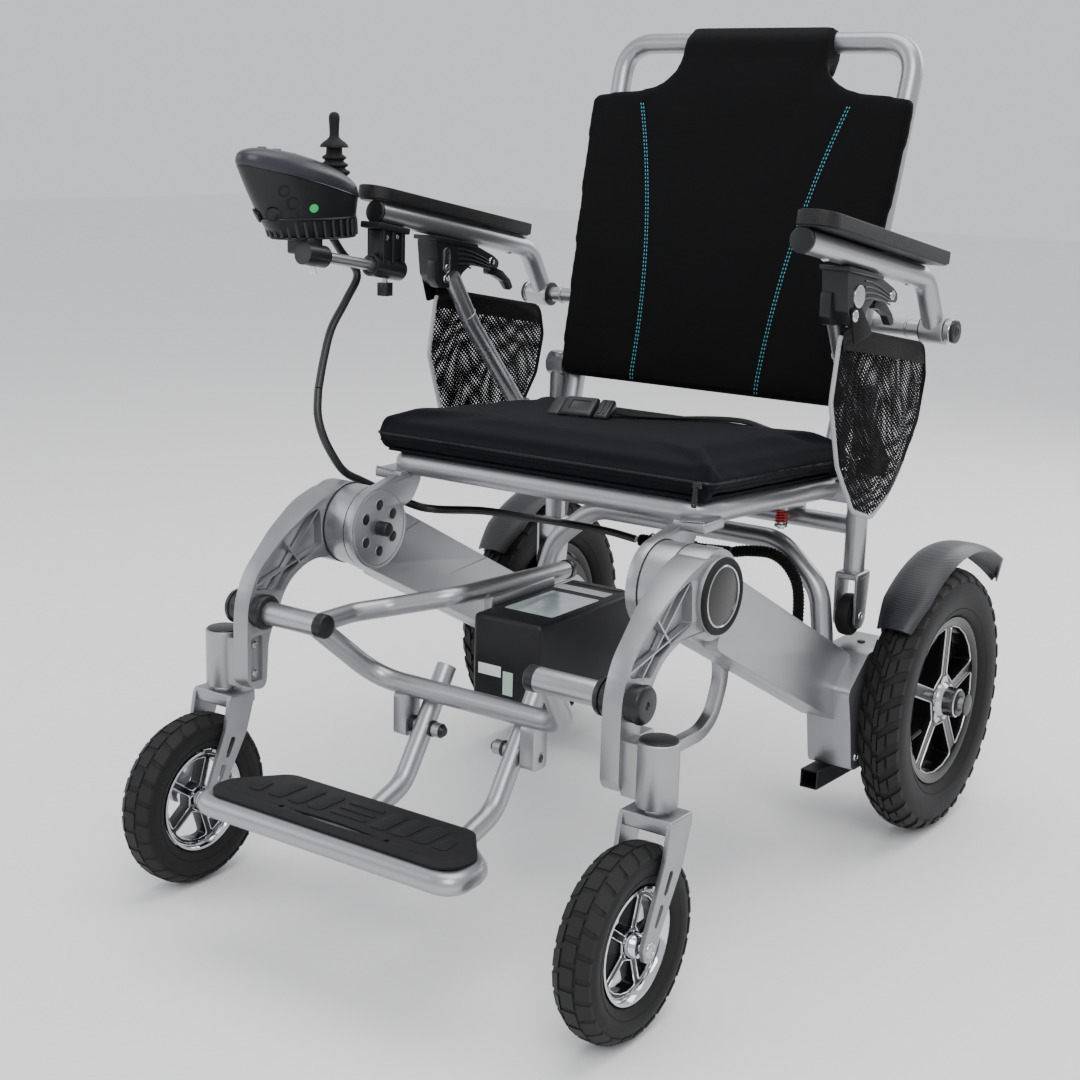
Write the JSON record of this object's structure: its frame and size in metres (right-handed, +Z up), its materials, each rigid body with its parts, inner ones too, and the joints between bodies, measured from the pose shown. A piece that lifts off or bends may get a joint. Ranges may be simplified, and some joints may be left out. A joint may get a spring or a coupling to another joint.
{
  "type": "power wheelchair",
  "caption": "Folding electric wheelchair with a silver frame, black padded seat and backrest, joystick on the right arm, spoked casters and chunky rear tyres.",
  "frame": {"origin": "centre of the footprint on the floor", "axes": "+Z up, the chair faces -Y, +X is the chair's left"},
  "size_m": [0.662, 0.9599, 0.9329],
  "materials": {
    "alloy": "black with machined edges",
    "black_fabric": "woven black",
    "black_plastic": "satin black",
    "black_rubber": "matt black",
    "cable": "black jacket",
    "carbon": "dark woven look",
    "chrome": "polished",
    "mesh_fabric": "open black mesh",
    "pad_leather": "grained black",
    "red_spring": "red paint",
    "silver_paint": "metallic silver paint",
    "tyre_rubber": "matt black",
    "zinc": "zinc plated"
  },
  "bodies": {
    "seat_frame": {"seat_rail": "silver_paint", "rear_upright_frame": "silver_paint", "seat_panel": "black_fabric", "seat_cushion": "black_fabric", "lap_belt": "black_fabric", "belt_buckle": "black_plastic", "joystick_cable_lower": "cable", "seat_harness": "cable"},
    "fold_lock": {"lock_pin": "zinc", "lock_spring": "red_spring"},
    "front_frame": {"front_leg_left": "silver_paint", "front_leg_right": "silver_paint", "front_crossbar": "silver_paint"},
    "battery": {"battery_pack": "black_plastic"},
    "footrest": {"footrest_frame": "silver_paint", "foot_mat": "black_rubber"},
    "rear_frame": {"rear_leg_left": "silver_paint", "rear_leg_right": "silver_paint", "rear_arch": "silver_paint", "anti_tip_tube_left": "black_plastic", "anti_tip_tube_right": "black_plastic", "fender_left": "carbon", "fender_right": "carbon", "arch_harness": "cable"},
    "backrest": {"back_frame": "silver_paint", "back_pad": "black_fabric", "arm_support_left": "silver_paint", "arm_support_right": "silver_paint", "mesh_bag_left": "mesh_fabric", "mesh_bag_right": "mesh_fabric"},
    "armrest_left": {"arm_tube_left": "silver_paint", "arm_pad_left": "pad_leather"},
    "armrest_right": {"arm_tube_right": "silver_paint", "arm_pad_right": "pad_leather", "joystick_clamp": "black_plastic", "joystick_cable_upper": "cable"},
    "clamp_knob": {"clamp_knob": "black_plastic"},
    "joystick_mount": {"joystick_rod": "silver_paint", "joystick_case": "black_plastic", "joystick_boot": "black_rubber"},
    "joystick_gimbal": {"joystick_gimbal": "black_plastic"},
    "joystick_stick": {"joystick_stick": "black_rubber"},
    "power_button": {"power_button": "black_plastic"},
    "horn_button": {"horn_button": "black_plastic"},
    "speed_button": {"speed_button": "black_plastic"},
    "trolley_wheel_left": {"trolley_wheel_left": "black_rubber"},
    "caster_fork_left": {"caster_fork_left": "silver_paint"},
    "caster_wheel_left": {"caster_rim_left": "chrome", "caster_tyre_left": "tyre_rubber"},
    "clutch_lever_left": {"clutch_lever_left": "zinc"},
    "rear_wheel_left": {"rear_rim_left": "alloy", "rear_tyre_left": "tyre_rubber"},
    "trolley_wheel_right": {"trolley_wheel_right": "black_rubber"},
    "caster_fork_right": {"caster_fork_right": "silver_paint"},
    "caster_wheel_right": {"caster_rim_right": "chrome", "caster_tyre_right": "tyre_rubber"},
    "clutch_lever_right": {"clutch_lever_right": "zinc"},
    "rear_wheel_right": {"rear_rim_right": "alloy", "rear_tyre_right": "tyre_rubber"}
  },
  "joints": [
    {"name": "rear_fold", "type": "hinge", "parent": "seat_frame", "child": "rear_frame", "pos_m": [0, -0.1785, 0.378], "axis": [1, 0, 0], "range_deg": [-44, 0]},
    {"name": "front_fold", "type": "hinge", "parent": "seat_frame", "child": "front_frame", "pos_m": [0, -0.1785, 0.378], "axis": [1, 0, 0], "range_deg": [0, 24.5]},
    {"name": "back_fold", "type": "hinge", "parent": "seat_frame", "child": "backrest", "pos_m": [0, 0.218, 0.52], "axis": [1, 0, 0], "range_deg": [0, 88], "deforming": ["joystick_cable_upper", "joystick_cable_lower"]},
    {"name": "arm_flip_left", "type": "hinge", "parent": "backrest", "child": "armrest_left", "pos_m": [0.271, 0.259, 0.602], "axis": [1, 0, 0], "range_deg": [-95, 0]},
    {"name": "arm_flip_right", "type": "hinge", "parent": "backrest", "child": "armrest_right", "pos_m": [-0.271, 0.259, 0.602], "axis": [1, 0, 0], "range_deg": [-95, 0], "deforming": ["joystick_cable_upper"]},
    {"name": "foot_flip", "type": "hinge", "parent": "front_frame", "child": "footrest", "pos_m": [0, -0.239, 0.19], "axis": [1, 0, 0], "range_deg": [-60, 0]},
    {"name": "lock_lift", "type": "slide", "parent": "seat_frame", "child": "fold_lock", "axis": [0, 0, 1], "range_m": [0, 0.012], "stiffness_N_per_m": 400, "springref_m": -0.005, "deforming": ["lock_spring"]},
    {"name": "battery_slide", "type": "slide", "parent": "front_frame", "child": "battery", "axis": [0, 1, 0], "range_m": [0, 0.1]},
    {"name": "rod_slide", "type": "slide", "parent": "armrest_right", "child": "joystick_mount", "axis": [0, -0.9866, 0.1634], "range_m": [0, 0.04], "deforming": ["joystick_cable_upper"]},
    {"name": "clamp_knob_turn", "type": "hinge", "parent": "armrest_right", "child": "clamp_knob", "pos_m": [-0.271, -0.06, 0.636], "axis": [0, 0, 1], "continuous": true},
    {"name": "stick_fore_aft", "type": "hinge", "parent": "joystick_mount", "child": "joystick_gimbal", "pos_m": [-0.295, -0.121, 0.766], "axis": [1, 0, 0], "range_deg": [-18, 18], "stiffness_Nm_per_rad": 0.3, "deforming": ["joystick_boot"]},
    {"name": "stick_side", "type": "hinge", "parent": "joystick_gimbal", "child": "joystick_stick", "pos_m": [-0.295, -0.121, 0.766], "axis": [0, 1, 0], "range_deg": [-18, 18], "stiffness_Nm_per_rad": 0.3, "deforming": ["joystick_boot"]},
    {"name": "power_press", "type": "slide", "parent": "joystick_mount", "child": "power_button", "axis": [0, 0, -1], "range_m": [0, 0.0012], "stiffness_N_per_m": 500, "springref_m": -0.001},
    {"name": "horn_press", "type": "slide", "parent": "joystick_mount", "child": "horn_button", "axis": [0, 0, -1], "range_m": [0, 0.0012], "stiffness_N_per_m": 500, "springref_m": -0.001},
    {"name": "speed_press", "type": "slide", "parent": "joystick_mount", "child": "speed_button", "axis": [0, 0, -1], "range_m": [0, 0.0012], "stiffness_N_per_m": 500, "springref_m": -0.001},
    {"name": "trolley_roll_left", "type": "hinge", "parent": "seat_frame", "child": "trolley_wheel_left", "pos_m": [0.2125, 0.21, 0.268], "axis": [1, 0, 0], "continuous": true},
    {"name": "caster_swivel_left", "type": "hinge", "parent": "front_frame", "child": "caster_fork_left", "pos_m": [0.278, -0.3175, 0.2], "axis": [0, 0, 1], "continuous": true},
    {"name": "caster_roll_left", "type": "hinge", "parent": "caster_fork_left", "child": "caster_wheel_left", "pos_m": [0.278, -0.365, 0.094], "axis": [1, 0, 0], "continuous": true},
    {"name": "clutch_left", "type": "hinge", "parent": "rear_frame", "child": "clutch_lever_left", "pos_m": [0.1965, 0.245, 0.13], "axis": [1, 0, 0], "range_deg": [-30, 0]},
    {"name": "rear_roll_left", "type": "hinge", "parent": "rear_frame", "child": "rear_wheel_left", "pos_m": [0.2857, 0.298, 0.159], "axis": [1, 0, 0], "continuous": true},
    {"name": "trolley_roll_right", "type": "hinge", "parent": "seat_frame", "child": "trolley_wheel_right", "pos_m": [-0.2125, 0.21, 0.268], "axis": [1, 0, 0], "continuous": true},
    {"name": "caster_swivel_right", "type": "hinge", "parent": "front_frame", "child": "caster_fork_right", "pos_m": [-0.278, -0.3175, 0.2], "axis": [0, 0, 1], "continuous": true},
    {"name": "caster_roll_right", "type": "hinge", "parent": "caster_fork_right", "child": "caster_wheel_right", "pos_m": [-0.278, -0.365, 0.094], "axis": [1, 0, 0], "continuous": true},
    {"name": "clutch_right", "type": "hinge", "parent": "rear_frame", "child": "clutch_lever_right", "pos_m": [-0.1965, 0.245, 0.13], "axis": [1, 0, 0], "range_deg": [-30, 0]},
    {"name": "rear_roll_right", "type": "hinge", "parent": "rear_frame", "child": "rear_wheel_right", "pos_m": [-0.2857, 0.298, 0.159], "axis": [1, 0, 0], "continuous": true}
  ],
  "couplings": [
    {"joint": "front_fold", "follows": "rear_fold", "ratio": -0.5556}
  ]
}
